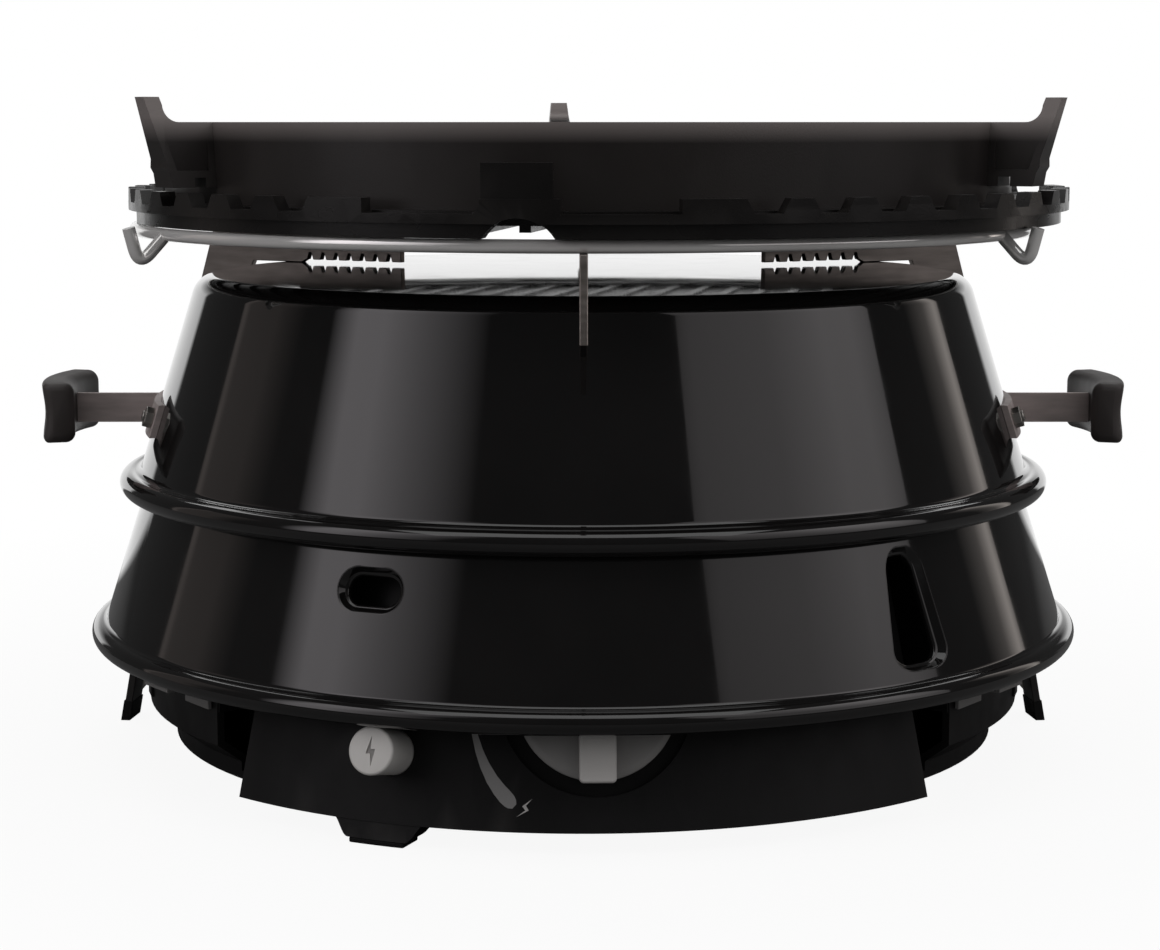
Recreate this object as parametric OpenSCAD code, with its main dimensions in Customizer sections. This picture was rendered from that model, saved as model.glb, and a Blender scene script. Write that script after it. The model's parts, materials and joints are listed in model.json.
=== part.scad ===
// Portable gas grill, packed for carrying: a burner base under an upturned fire bowl, with the wok,
// pan trivet, toothed griddle and deep pan stacked on top, all upside down.
// Azimuth runs from the front (-Y) and grows towards +X.

/* [Sheet] */
// Thickness of the enamelled steel sheet
sheet = 1.3; // [1:0.1:2]
// Gap between loose pieces that rest on each other
rest_gap = 0.2; // [0.1:0.05:0.4]

/* [Fire bowl] */
// Outer radius of the fire bowl's rolled rim
bowl_rim_r = 195; // [192:1:200]
// Radius of the bead in the fire bowl's rim
bowl_bead = 4.2; // [3:0.1:5]
// Height of the fire bowl's rim above the table
bowl_rim_z = 48.3; // [47:0.1:52]
// Lean of the fire bowl's wall from upright
bowl_lean = 17.8; // [16:0.1:18.5]
// Height of the fire bowl's upturned floor
bowl_floor_z = 185; // [178:1:195]
// Radius between the fire bowl's wall and floor
bowl_corner = 10; // [6:1:14]
// Radius of the burner hole in the fire bowl's floor
bowl_hole_r = 62; // [56:1:80]

/* [Bowl openings] */
// Azimuth of the lighting port
port_az = -24; // [-40:1:-10]
// Width of the lighting port
port_w = 22; // [16:1:28]
// Height of the lighting port
port_h = 11.5; // [9:0.5:13]
// Height of the lighting port's middle above the table
port_z = 88; // [80:1:90]
// Azimuth of the finger slot
slot_az = 40; // [30:1:60]
// Width of the finger slot
slot_w = 20; // [14:1:26]
// Height of the finger slot
slot_h = 38; // [28:1:40]
// Height of the finger slot's middle above the table
slot_z = 78; // [76:1:80]
// Depth of the flange drawn in around each opening
flange_depth = 5; // [3:0.5:7]

/* [Wok] */
// Outer radius of the wok's rolled rim
wok_rim_r = 183; // [182:0.5:188]
// Radius of the bead in the wok's rim
wok_bead = 4.5; // [3.5:0.1:4.8]
// Height of the wok's rim above the table
wok_rim_z = 106.5; // [104:0.5:112]
// Lean of the wok's wall from upright
wok_lean = 17.3; // [15:0.1:17.8]
// How far the wall stands inside the middle of the bead
wok_bead_out = 2.3; // [1.5:0.1:3]
// Radius between the wok's wall and floor
wok_corner = 9; // [6:1:12]

/* [Wok handles] */
// Height of the middle of the handle strap
strap_z = 132; // [130:1:136]
// Height of the strap's flat
strap_h = 12.4; // [10:0.2:14]
// Thickness of the strap
strap_t = 2.4; // [1.6:0.1:3]
// Half the length of the strap's foot along the wok's wall
strap_half = 50; // [49:1:56]
// Distance of the handle bolts from the middle of the strap's foot
bolt_at = 44; // [38:1:45]
// Radius of the handle bolt's shank
bolt_r = 2; // [1.8:0.1:2.4]
// Radius at which the middle of the grip's outer face stands
grip_out = 214; // [208:0.5:222]
// Thickness of the grip
grip_t = 12; // [10:0.5:14]
// Height of the grip
grip_h = 23.6; // [21:0.2:27]
// Half the length of the grip
grip_half = 31; // [28:1:36]
// Radius to which the grip is bowed
grip_bow = 95; // [80:1:140]
// How far the grip's outer face is hollowed between its edges
grip_waist = 1; // [0:0.1:2]

/* [Trivet] */
// Radius of the trivet's wire
wire_r = 2.35; // [2:0.05:2.6]
// Radius of the trivet's ring
ring_r = 174.5; // [172:0.5:176]
// Height of the ring above the wok's floor
ring_up = 18.2; // [16:0.2:22]
// Radius of the foot of each rim hook
hook_r = 185; // [183:0.5:187]
// How far the rim hooks dip below the ring
hook_dip = 11; // [8:0.5:12]
// Thickness of the trivet's fins
fin_t = 2.8; // [2:0.1:3.5]
// Radius of the fins' inner ends
fin_in = 86; // [70:1:95]
// How far the fins' outer tips reach below the wok's floor
fin_tip = 12.9; // [8:0.1:15]
// Height of the serrated edge above the wok's floor
fin_relief = 1.1; // [0.6:0.1:2]

/* [Griddle] */
// Radius of the griddle
griddle_r = 183; // [180:0.5:185]
// Height of the rim round the cooking face
griddle_rim = 3.9; // [3:0.1:6]
// Thickness of the griddle's plate
griddle_plate = 5; // [4:0.5:6]
// Height of the teeth above the plate
tooth_h = 4.2; // [3:0.1:6]
// Number of teeth round the edge
tooth_count = 48; // [36:3:54]
// Height of the tabs above the plate
tab_h = 16; // [10:0.5:18]
// Width of the tabs
tab_w = 24; // [18:1:30]
// Turn of the griddle on the stack
griddle_turn = -8.8; // [-12:0.2:12]
// How far the griddle lies to the right of the middle
griddle_shift = 6; // [0:0.5:7]

/* [Pan] */
// Outer radius of the pan's wall
pan_r = 165; // [160:1:168]
// Depth of the pan
pan_h = 29; // [24:0.5:32]
// Thickness of the pan's wall
pan_wall = 4; // [3:0.5:5]
// Turn of the pan on the stack
pan_turn = 4; // [-6:0.5:6]
// How far the pan lies to the right of the middle
pan_shift = 2; // [0:0.5:6]
// Radius of the tips of the pan's lugs
lug_tip_r = 191; // [187:0.5:193]
// How far the lug tips stand above the pan
lug_tip_up = 8.8; // [6:0.1:11]
// Width of a lug at its root
lug_w = 15; // [12:1:18]

/* [Base] */
// Height of the tray's underside above the table
tray_z = 7; // [6:0.5:8]
// How far the tray's foot stands inside the fire bowl's rim
tray_inset = 27.8; // [26:0.2:32]
// How far the seam of the tray and housing stands inside the fire bowl's rim
seam_inset = 17.8; // [17:0.2:19.8]
// Height of the seam
seam_z = 33; // [32:0.5:34]
// Height of the top of the housing's deck
deck_z = 95; // [93:1:98]
// How far the edge of the housing's deck stands inside the fire bowl's rim
deck_inset = 38.8; // [37:0.2:40.8]
// Wall thickness of the moulded base
base_wall = 3; // [2.5:0.5:3.5]
// Half the angle of the control bay in the base
bay_half = 50; // [48:1:50]
// Depth of the control bay in from the seam
bay_depth = 38; // [37:0.5:41]

/* [Control panel] */
// How far the panel's lower edge stands inside the fire bowl's rim
panel_inset = 9.8; // [9:0.2:11.8]
// Height of the panel's lower edge
panel_z = 8; // [7:0.5:9]
// Lean of the panel from upright
panel_lean = 14.6; // [13:0.1:16]
// Thickness of the panel
panel_t = 3; // [2.5:0.5:3.5]
// Half the angle that the panel covers
panel_half = 42.4; // [40:0.2:44]
// Azimuth of the igniter button and the foot below it
igniter_az = -22; // [-26:1:-20]
// Height at which the igniter's axis leaves the panel
igniter_z = 31.5; // [28:0.5:31.5]
// Radius of the igniter button
button_r = 7.9; // [6:0.1:8]
// How far the igniter button stands out of the panel
button_out = 17; // [13:0.5:18]
// Travel of the igniter button
button_travel = 7; // [4:0.5:8]
// Azimuth of the gas knob
knob_az = 1.5; // [0:0.5:4]
// Height of the gas knob
knob_z = 51.5; // [50:0.5:54]
// Radius of the gas knob
knob_r = 27.5; // [26:0.5:28]
// Width of the bar across the knob
knob_bar_w = 12.5; // [10:0.5:15]

/* [Legs] */
// Height of the leg pivots
pivot_z = 36; // [35:0.5:37]
// How far the leg pivots stand inside the fire bowl's rim
pivot_inset = 9.4; // [8.8:0.1:10.2]
// Lean of the legs from upright
leg_lean = 10.5; // [9:0.5:12]
// Thickness of a leg
leg_t = 3; // [2.5:0.5:3]
// Width of a leg
leg_w = 14; // [12:1:16]
// Radius of the pivot pins
pin_r = 3; // [2.5:0.1:3.5]

/* [Burner and gas] */
// Radius of the burner
burner_r = 38; // [32:1:42]
// Outer radius of the mixing tube
tube_r = 11; // [9:0.5:12]
// Radius of the gas pipe
pipe_r = 3; // [2.5:0.1:3.5]
// Azimuth of the gas inlet
inlet_az = 152; // [145:1:158]
// Height of the gas inlet
inlet_z = 27.4; // [27.2:0.1:27.5]
// Radius of the gas inlet's thread
inlet_r = 5; // [4.5:0.1:5]

/* [Hidden] */
$fn = 96;

enamel = "#15130f";
cast = "#1d1a18";
moulded = "#17181a";
steel = "#8c8580";
zinc = "#b9b6b0";
brass = "#b08d57";

// Heights of the stack
wok_floor_z = bowl_floor_z + sheet;
ring_z = wok_floor_z + ring_up;
griddle_z = ring_z + wire_r + rest_gap;
plate_z = griddle_z + griddle_rim;
plate_top = plate_z + griddle_plate;
tooth_top = plate_top + tooth_h;
pan_top = plate_top + pan_h;

// Walls of the two bowls and of the base inside them
bowl_wall_r = bowl_rim_r - bowl_bead;
wok_wall_r = wok_rim_r - wok_bead - wok_bead_out;
tray_foot_r = bowl_wall_r - tray_inset;
seam_r = bowl_wall_r - seam_inset;
deck_r = bowl_wall_r - deck_inset;
bay_r = seam_r - bay_depth;
panel_r = bowl_wall_r - panel_inset;
pivot_r = bowl_wall_r - pivot_inset;
function leaning(r, z0, z, lean) = r - (z - z0) * tan(lean);
function bowl_r_at(z) = leaning(bowl_wall_r, bowl_rim_z, z, bowl_lean);
function wok_r_at(z) = leaning(wok_wall_r, wok_rim_z, z, wok_lean);
function panel_r_at(z) = leaning(panel_r, panel_z, z, panel_lean);

// Base
floor_t = 3;
step_low_z = tray_z + 6.5;
step_high_z = tray_z + 14;
shoulder_z = 48;
shoulder_r = seam_r - 1;
bay_top = deck_z - floor_t;
panel_top = bay_top - floor_t;
cheek_z = 19;
rest_azs = [-128, -54, 54, 128];
rest_half = 9;
rim_low_z = bowl_rim_z - bowl_bead;
leg_azs = [-97, 97, 180];
leg_len = pivot_z / cos(leg_lean);
tip_len = 10;
tip_wall = 0.4;
web_z = 11.5;
web_t = 3;
web_r = leaning(pivot_r, pivot_z, web_z, leg_lean) - 1.5;
run_gap = 0.05;
skin_in = 0.4;

// Knob and igniter, along the panel's outward normal with 0 at its face
pocket_gap = 5.3;
pocket_r = knob_r + pocket_gap;
pocket_x = -4.5;
boss_x = -8;
valve_x = -36;
jet_x = -42;
tube_z = knob_z - 10.5;
stem_r = 3;
knob_face = 5;
bar_face = 10.5;
igniter_boss_x = -6;
igniter_x = -40;
igniter_r = 9.5;
button_bore_x = igniter_boss_x - 6 - button_travel - 1;
plunger_r = 3;

// Rubber pad under the panel's foot and swell at wire bends
foot_pad = 2;
foot_depth = 13;
foot_az = igniter_az - 1;
foot_low = 11;
foot_high = 18;
bend_swell = 0.06;

// Handle straps and grips
strap_low = strap_z - strap_h / 2;
strap_high = strap_z + strap_h / 2;
foot_half = asin(strap_half / wok_r_at(strap_z));
bolt_az = asin(bolt_at / wok_r_at(strap_z));
bolt_end = 4.2;
nut_h = 3.2;
arm_out = grip_out - grip_t / 2;
grip_up = 0.8;
grip_edge = 1.8;
grip_round = 4;

// Trivet hooks and fins
hook_azs = [-60, 60, 180];
hook_tip_r = hook_r + 3.6;
hook_tip_z = griddle_z + 0.2;
fin_top = ring_z - wire_r;
fin_out = ring_r + 8;
fin_pad_r = wok_r_at(wok_floor_z) - wok_corner;
fin_notch = 3;
fin_pitch = 6.7;
notch_count = 7;

// Griddle edge and ribs
rim_in = griddle_r - 11;
rim_out = griddle_r - 3;
tooth_in = griddle_r - 6;
notch_low_z = plate_top - 0.8;
tooth_pitch = 360 / tooth_count;
bare_half = 17;
tab_sweep = 4.2;
tab_foot = asin((tab_w / 2 + tab_sweep + 0.3) / griddle_r);
bare_from = tab_foot - 0.6;
arch_r = 14.4;
arch_up = 3;
notch_row = floor((120 - 2 * bare_half) / tooth_pitch) - 1;
rib_pitch = 14;
rib_h = 2.4;

// Pan floor and lugs
pan_floor = 4;
lug_low_z = tooth_top + 1.7;
lug_low_r = lug_tip_r - 8;
lug_sweep = 6;

// Burner
neck_r = 14;
neck_hole = neck_r + 1;
neck_z = 70;
shield_t = 1.2;
shield_r = deck_r - 14;
burner_z = deck_z + shield_t;
burner_flange = 4;
burner_h = 16;
cap_h = 4;
port_count = 24;
electrode_x = -(burner_r + 7);
ceramic_r = 3;
valve_inlet = [24, -(panel_r_at(knob_z) - 23.5), knob_z - 7.5];
tube_mouth_y = -(bay_r - 9);
bracket_y = tube_mouth_y + 26;
pipe_z = tray_z + 13;
inlet_nut_r = inlet_r + 2.2;
screw_r = 2;
screw_head_r = 4;
screw_head = 2;
panel_screw_at = (shield_r + deck_r) / 2 + 1;

module at_az(az) rotate([0, 0, az - 90]) children();
module on_wall(az, r, z, lean) at_az(az) translate([r, 0, z]) rotate([0, -lean, 0]) children();
module on_panel(az, z) on_wall(az, panel_r_at(z), z, panel_lean) children();
module on_leg(az) on_wall(az, pivot_r, pivot_z, leg_lean) children();
module xcyl(r, x0, x1) translate([x0, 0, 0]) rotate([0, 90, 0]) cylinder(r = r, h = x1 - x0);
module sector(half, r0, r1, z0, z1) rotate([0, 0, -90 - half]) rotate_extrude(angle = 2 * half)
    translate([r0, z0]) square([r1 - r0, z1 - z0]);
module arc_sweep(half) rotate([0, 0, -90 - half]) rotate_extrude(angle = 2 * half) children();
module bead(r, z, bead_r) rotate_extrude() translate([r, z]) circle(r = bead_r);

// A round rod between two points
module rod(a, b, r) {
    v = b - a;
    translate(a) rotate([0, acos(v[2] / norm(v)), atan2(v[1], v[0])]) cylinder(r = r, h = norm(v));
}

// Rods through a list of points, with slightly swollen round corners
module bent_rod(points, r, swell = bend_swell) {
    for (i = [1 : len(points) - 1]) rod(points[i - 1], points[i], r);
    for (i = [1 : len(points) - 2]) translate(points[i]) sphere(r = r + swell);
}

// A flat slot with round ends, w across and h up, cut along X
module slot_x(w, h, x0, x1) {
    round_r = min(w, h) / 2;
    dy = w / 2 - round_r;
    dz = h / 2 - round_r;
    translate([x0, 0, 0]) rotate([0, 90, 0]) linear_extrude(x1 - x0) {
        square([dz > 0 ? 2 * dz : 2 * round_r, dy > 0 ? 2 * dy : 2 * round_r], center = true);
        for (s = [-1, 1]) translate([s * dz, s * dy]) circle(r = round_r);
    }
}

// An upturned pressed bowl: a leaning wall, a rounded corner and a flat floor
module pressed_bowl(wall_r, rim_z, lean, floor_z, corner, hole_r) {
    steps = 10;
    centre_z = floor_z - corner;
    centre_r = wall_r - ((centre_z - rim_z) * sin(lean) + corner) / cos(lean);
    arc = [for (i = [0 : steps]) lean + (90 - lean) * i / steps];
    outer = [for (a = arc) [centre_r + corner * cos(a), centre_z + corner * sin(a)]];
    inner_c = corner - sheet;
    inner = [for (i = [steps : -1 : 0]) [centre_r + inner_c * cos(arc[i]), centre_z + inner_c * sin(arc[i])]];
    rotate_extrude() polygon(concat(
        [[wall_r, rim_z]], outer, [[hole_r, floor_z], [hole_r, floor_z - sheet]], inner,
        [[wall_r - sheet / cos(lean), rim_z]]
    ));
}

module base_tray() color(moulded) {
    foot_in = tray_foot_r - base_wall;
    seam_in = seam_r - base_wall;
    difference() {
        rotate_extrude() polygon([
            [0, tray_z], [tray_foot_r, tray_z], [tray_foot_r, step_low_z], [seam_r, step_high_z],
            [seam_r, seam_z], [seam_in, seam_z], [seam_in, step_high_z + 1.3], [foot_in, step_low_z + 1.3],
            [foot_in, tray_z + floor_t], [0, tray_z + floor_t]
        ]);
        sector(bay_half, bay_r + 8, seam_r + 5, tray_z + floor_t, seam_z + 1);
        at_az(inlet_az) translate([0, 0, inlet_z]) {
            xcyl(inlet_r + run_gap, seam_in - 5, seam_r + 5);
            xcyl(inlet_nut_r + 0.3, seam_in - 8, seam_in);
        }
        tray_screw_places() translate([0, 0, tray_z - 1]) cylinder(r = screw_r + 0.1, h = floor_t + 2);
    }
    for (az = [-75, 75]) at_az(az) translate([seam_in + 1, -5, seam_z - 8]) cube([base_wall, 10, 5]);
}

// The bay's side walls stop just inside the housing's own skin
module bay_cheek() polygon([
    [bay_r - 1, seam_z + 0.3], [seam_r - skin_in, seam_z + 0.3], [shoulder_r - skin_in, shoulder_z],
    [deck_r - skin_in, bay_top + 1], [bay_r - 1, bay_top + 1]
]);

module base_housing() color(moulded) difference() {
    union() {
        difference() {
            rotate_extrude() polygon([
                [seam_r, seam_z], [shoulder_r, shoulder_z], [deck_r, bay_top], [deck_r, deck_z],
                [neck_hole, deck_z], [neck_hole, bay_top], [deck_r - base_wall - 1, bay_top],
                [shoulder_r - base_wall - 0.5, shoulder_z - 1], [seam_r - base_wall, seam_z]
            ]);
            sector(bay_half, bay_r + 1, seam_r + 5, seam_z - 1, bay_top);
            panel_screw_places() translate([0, 0, bay_top - 2]) cylinder(r = screw_r + 0.1, h = floor_t + 4);
            translate([electrode_x, 0, bay_top - 2]) cylinder(r = ceramic_r + run_gap, h = floor_t + 4);
        }
        sector(bay_half + 2, bay_r - base_wall, bay_r, seam_z + 0.3, bay_top + 1);
        for (s = [-1, 1]) rotate([0, 0, s * (bay_half + 0.5)]) arc_sweep(0.8) bay_cheek();
        tray_screw_places() translate([0, 0, tray_z + floor_t]) difference() {
            cylinder(r = screw_head_r, h = bay_top - tray_z - floor_t + 1);
            translate([0, 0, -1]) cylinder(r = screw_r + run_gap, h = 13);
        }
    }
    at_az(0) translate([0, 0, tube_z]) xcyl(tube_r + 2, bay_r - 10, bay_r + 5);
}

module tray_screw_places() for (az = [-120, 120, -62, 62]) at_az(az) translate([bay_r + 8, 0, 0]) children();
module panel_screw_places() for (az = [-25, 25]) at_az(az) translate([panel_screw_at, 0, 0]) children();

// The foot's sides sweep down from the panel's lower edge in a flat S
function foot_side(s, t) = [
    s * (foot_low + (foot_high - foot_low) * t), foot_pad + (panel_z + 0.8 - foot_pad) * (1 - cos(180 * t)) / 2
];
module panel_foot_outline() polygon(concat(
    [for (i = [0 : 8]) foot_side(1, i / 8)],
    [[foot_high, panel_z + 3], [-foot_high, panel_z + 3]],
    [for (i = [8 : -1 : 0]) foot_side(-1, i / 8)]
));

module control_panel() color("#1b1c1e") difference() {
    union() {
        arc_sweep(panel_half) polygon([
            [panel_r_at(panel_z), panel_z], [panel_r_at(bay_top), bay_top], [bay_r + 7, bay_top],
            [bay_r + 7, panel_top], [panel_r_at(panel_top) - panel_t, panel_top],
            [panel_r_at(panel_z) - panel_t, panel_z]
        ]);
        for (s = [-1, 1]) rotate([0, 0, s * (panel_half - 0.8)]) arc_sweep(0.5) polygon([
            [bay_r + 15, cheek_z], [panel_r_at(cheek_z) - 1, cheek_z],
            [panel_r_at(panel_top) - 1, panel_top + 1], [bay_r + 15, panel_top + 1]
        ]);
        on_panel(knob_az, knob_z) xcyl(pocket_r + 2, boss_x, pocket_x + 0.7);
        on_panel(igniter_az, igniter_z) xcyl(button_r + 5, igniter_boss_x, -1.2);
        intersection() {
            at_az(foot_az) translate([bay_r, 0, 0]) rotate([90, 0, 90])
                linear_extrude(60) panel_foot_outline();
            arc_sweep(panel_half - 1) polygon([
                [panel_r_at(0) - foot_depth, 0], [panel_r_at(0) - skin_in, 0],
                [panel_r_at(panel_z + 5) - skin_in, panel_z + 5],
                [panel_r_at(panel_z + 5) - foot_depth, panel_z + 5]
            ]);
        }
    }
    on_panel(knob_az, knob_z) {
        xcyl(pocket_r, pocket_x, 10);
        xcyl(stem_r + 1.5, boss_x - 5, 10);
    }
    on_panel(igniter_az, igniter_z) xcyl(button_r + 0.3, igniter_boss_x - 1, 10);
    panel_screw_places() translate([0, 0, panel_top - 1]) cylinder(r = screw_r + run_gap, h = floor_t + 2);
}

module front_foot() color("#101010") intersection() {
    at_az(foot_az) translate([bay_r, 0, 0]) rotate([90, 0, 90]) linear_extrude(60)
        translate([0.5 - foot_low, 0]) square([2 * foot_low - 1, foot_pad]);
    sector(panel_half, panel_r_at(0) - foot_depth + 0.5, panel_r_at(foot_pad) - 0.5, 0, foot_pad);
}

module rim_rests() color(zinc) for (az = rest_azs) at_az(az) {
    shelf_z = rim_low_z - rest_gap;
    shelf_t = 1.6;
    translate([seam_r + run_gap, -rest_half, seam_z + 1])
        cube([shelf_t, 2 * rest_half, shelf_z - seam_z - 1]);
    translate([seam_r + run_gap, -rest_half, shelf_z - shelf_t])
        cube([bowl_wall_r - seam_r, 2 * rest_half, shelf_t]);
}

module leg_brackets() color(zinc) for (az = leg_azs) difference() {
    union() {
        at_az(az) translate([seam_r + run_gap, -8, seam_z + 0.5]) cube([pivot_r - seam_r - 2, 16, 9]);
        at_az(az) rotate([90, 0, 0]) linear_extrude(web_t, center = true) polygon([
            [seam_r + run_gap, seam_z + 1], [pivot_r - 2, seam_z + 1], [web_r, web_z],
            [seam_r + run_gap, web_z + 13]
        ]);
        on_leg(az) xcyl(6, -4, -0.3);
    }
    on_leg(az) xcyl(pin_r + 0.01, -12, 2);
}

module leg_pivots() color(steel) for (az = leg_azs) on_leg(az) {
    xcyl(pin_r, -4, leg_t + 0.4);
    xcyl(pin_r + 2, leg_t + 0.3, leg_t + 2);
}

module leg(az) color("#2b2926") on_leg(az) difference() {
    union() {
        xcyl(leg_w / 2, 0, leg_t);
        translate([0, -leg_w / 2, -leg_len + 5]) cube([leg_t, leg_w, leg_len - 5]);
    }
    xcyl(pin_r + run_gap, -1, leg_t + 1);
}

module leg_tip(az) color("#101010") difference() {
    on_leg(az) difference() {
        translate([-tip_wall, -leg_w / 2 - tip_wall, -leg_len - 2])
            cube([leg_t + 2 * tip_wall, leg_w + 2 * tip_wall, tip_len]);
        translate([0, -leg_w / 2, -leg_len + 5]) cube([leg_t, leg_w, leg_len]);
    }
    at_az(az) translate([0, -50, -20]) cube([300, 100, 20]);
}

module heat_shield() color(steel) difference() {
    rotate_extrude() polygon([
        [neck_hole, deck_z], [shield_r, deck_z], [shield_r, deck_z + 5], [shield_r - shield_t, deck_z + 5],
        [shield_r - shield_t, burner_z], [neck_hole, burner_z]
    ]);
    translate([electrode_x, 0, deck_z - 1]) cylinder(r = ceramic_r + run_gap, h = 8);
}

module burner_body() color("#77757a") difference() {
    wall = 3;
    cup_z = burner_z + burner_flange;
    rotate_extrude() polygon([
        [tube_r - 2, neck_z], [neck_r, neck_z], [neck_r, burner_z], [burner_r, burner_z],
        [burner_r, burner_z + burner_h],
        [burner_r - wall, burner_z + burner_h], [burner_r - wall, cup_z], [tube_r - 2, cup_z]
    ]);
    for (i = [0 : port_count - 1]) rotate([0, 0, (i + 0.5) * 360 / port_count])
        translate([burner_r - wall - 2, -1, burner_z + burner_h - 5]) cube([wall + 4, 2, 6]);
}

module burner_cap() color("#3a3836") rotate_extrude() polygon([
    [0, burner_z + burner_h], [burner_r + 1, burner_z + burner_h],
    [burner_r + 1, burner_z + burner_h + 1.5],
    [burner_r - 6, burner_z + burner_h + cap_h], [0, burner_z + burner_h + cap_h]
]);

module mixing_tube() color(steel) difference() {
    union() {
        rod([0, tube_mouth_y, tube_z], [0, 0, tube_z], tube_r);
        rod([0, 0, tube_z], [0, 0, neck_z], tube_r);
        translate([0, 0, tube_z]) sphere(r = tube_r);
    }
    rod([0, tube_mouth_y - 1, tube_z], [0, 0, tube_z], tube_r - 2);
    rod([0, 0, tube_z], [0, 0, neck_z + 1], tube_r - 2);
    translate([0, 0, tube_z]) sphere(r = tube_r - 2);
    translate([-tube_r - 1, tube_mouth_y + 6, tube_z - 4]) cube([2 * tube_r + 2, 12, 8]);
}

module tube_bracket() color(zinc) difference() {
    floor_top = tray_z + floor_t;
    translate([-12, bracket_y - 1, floor_top]) cube([24, 2, tube_z - floor_top]);
    rod([0, bracket_y - 5, tube_z], [0, bracket_y + 5, tube_z], tube_r);
}

module gas_valve() color(brass) difference() {
    arm = 5;
    union() {
        on_panel(knob_az, knob_z) {
            translate([boss_x - 14, -11, -11]) cube([14, 22, 22]);
            xcyl(8, valve_x, boss_x - 13);
        }
        translate(valve_inlet - [18, arm, 0]) cube([18 + arm, 2 * arm, 2 * arm]);
    }
    on_panel(knob_az, knob_z) xcyl(stem_r + run_gap, boss_x - 13.5, boss_x + 1);
}

module gas_jet() color(brass) on_panel(knob_az, knob_z) difference() {
    xcyl(3.5, jet_x, valve_x);
    xcyl(0.6, jet_x - 1, jet_x + 4);
}

// The pipe's end is cut square to the inlet that it meets
module gas_pipe() color("#b87345") difference() {
    end_r = seam_r - 20;
    low_r = seam_r - 40;
    start = [end_r + 4, inlet_z + 4 * (inlet_z - pipe_z) / (end_r - low_r)];
    bent_rod([
        [sin(inlet_az) * start[0], -cos(inlet_az) * start[0], start[1]],
        [sin(inlet_az) * low_r, -cos(inlet_az) * low_r, pipe_z],
        [valve_inlet[0], 60, pipe_z], [valve_inlet[0], valve_inlet[1], pipe_z], valve_inlet
    ], pipe_r, 0.6);
    at_az(inlet_az) translate([end_r, -10, 0]) cube([20, 20, 60]);
}

module gas_inlet() color(brass) at_az(inlet_az) translate([0, 0, inlet_z]) difference() {
    union() {
        xcyl(inlet_r, seam_r - 20, bowl_rim_r - 1);
        translate([seam_r, 0, 0]) rotate([0, 90, 0]) cylinder(r = inlet_r + 2.5, h = 5, $fn = 6);
    }
    xcyl(inlet_r - 2.5, seam_r - 18, bowl_rim_r);
}

module inlet_nut() color(zinc) at_az(inlet_az) translate([0, 0, inlet_z]) difference() {
    translate([seam_r - base_wall - 4.2, 0, 0]) rotate([0, 90, 0]) cylinder(r = inlet_nut_r, h = 4, $fn = 6);
    xcyl(inlet_r, seam_r - 20, seam_r);
}

module igniter_body() color("#202124") on_panel(igniter_az, igniter_z) difference() {
    xcyl(igniter_r, igniter_x, igniter_boss_x);
    xcyl(button_r + 0.3, button_bore_x, igniter_boss_x + 1);
    xcyl(plunger_r + run_gap, button_bore_x - 8 - button_travel, igniter_boss_x);
}

module igniter_button() color("#c9c8c6") on_panel(igniter_az, igniter_z)
    xcyl(button_r, igniter_boss_x - 6, button_out);

module igniter_plunger() color(steel) on_panel(igniter_az, igniter_z)
    xcyl(plunger_r, button_bore_x - 6, igniter_boss_x - 6);

module electrode() color("#e8e3d8") translate([electrode_x, 0, 0]) difference() {
    union() {
        translate([0, 0, bay_top - 6]) cylinder(r = ceramic_r, h = burner_z - bay_top + 16);
        translate([0, 0, burner_z]) cylinder(r = ceramic_r + 2, h = 2);
    }
    translate([0, 0, bay_top - 7]) cylinder(r = 0.9, h = 40);
}

module electrode_pin() color(steel) bent_rod([
    [electrode_x, 0, bay_top - 10], [electrode_x, 0, burner_z + burner_h - 3],
    [-burner_r - 2.5, 0, burner_z + burner_h - 3]
], 0.8);

module ignition_lead() color("#7b2d26") {
    axis_r = panel_r_at(igniter_z) + igniter_x * cos(panel_lean);
    axis_z = igniter_z + igniter_x * sin(panel_lean);
    bent_rod([
        [sin(igniter_az) * axis_r, -cos(igniter_az) * axis_r, axis_z],
        [electrode_x, -100, axis_z - 2], [electrode_x, -20, 60], [electrode_x, 0, bay_top - 20],
        [electrode_x, 0, bay_top - 10]
    ], 1.2);
}

module panel_screws() color(zinc) panel_screw_places() {
    translate([0, 0, panel_top - 4]) cylinder(r = screw_r, h = deck_z - panel_top + 4);
    translate([0, 0, deck_z]) cylinder(r = screw_head_r, h = screw_head);
}

module tray_screws() color(zinc) tray_screw_places() {
    translate([0, 0, tray_z - screw_head]) cylinder(r = screw_head_r, h = screw_head);
    translate([0, 0, tray_z]) cylinder(r = screw_r, h = floor_t + 11);
}

module knob() color("#b4b4b3") on_panel(knob_az, knob_z) difference() {
    union() {
        xcyl(knob_r, pocket_x + 0.4, knob_face);
        intersection() {
            translate([0, -knob_bar_w / 2, -knob_r]) cube([bar_face, knob_bar_w, 2 * knob_r]);
            xcyl(knob_r, 0, bar_face);
        }
    }
    xcyl(stem_r, pocket_x, knob_face - 2);
}

module valve_stem() color(brass) on_panel(knob_az, knob_z) xcyl(stem_r, boss_x - 12, knob_face - 2);

module drawn_opening(az, z, w, h) on_wall(az, bowl_r_at(z), z, bowl_lean)
    slot_x(w + 2 * sheet, h + 2 * sheet, -flange_depth, -0.6);
module opening_cut(az, z, w, h) on_wall(az, bowl_r_at(z), z, bowl_lean) slot_x(w, h, -flange_depth - 5, 5);

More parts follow.
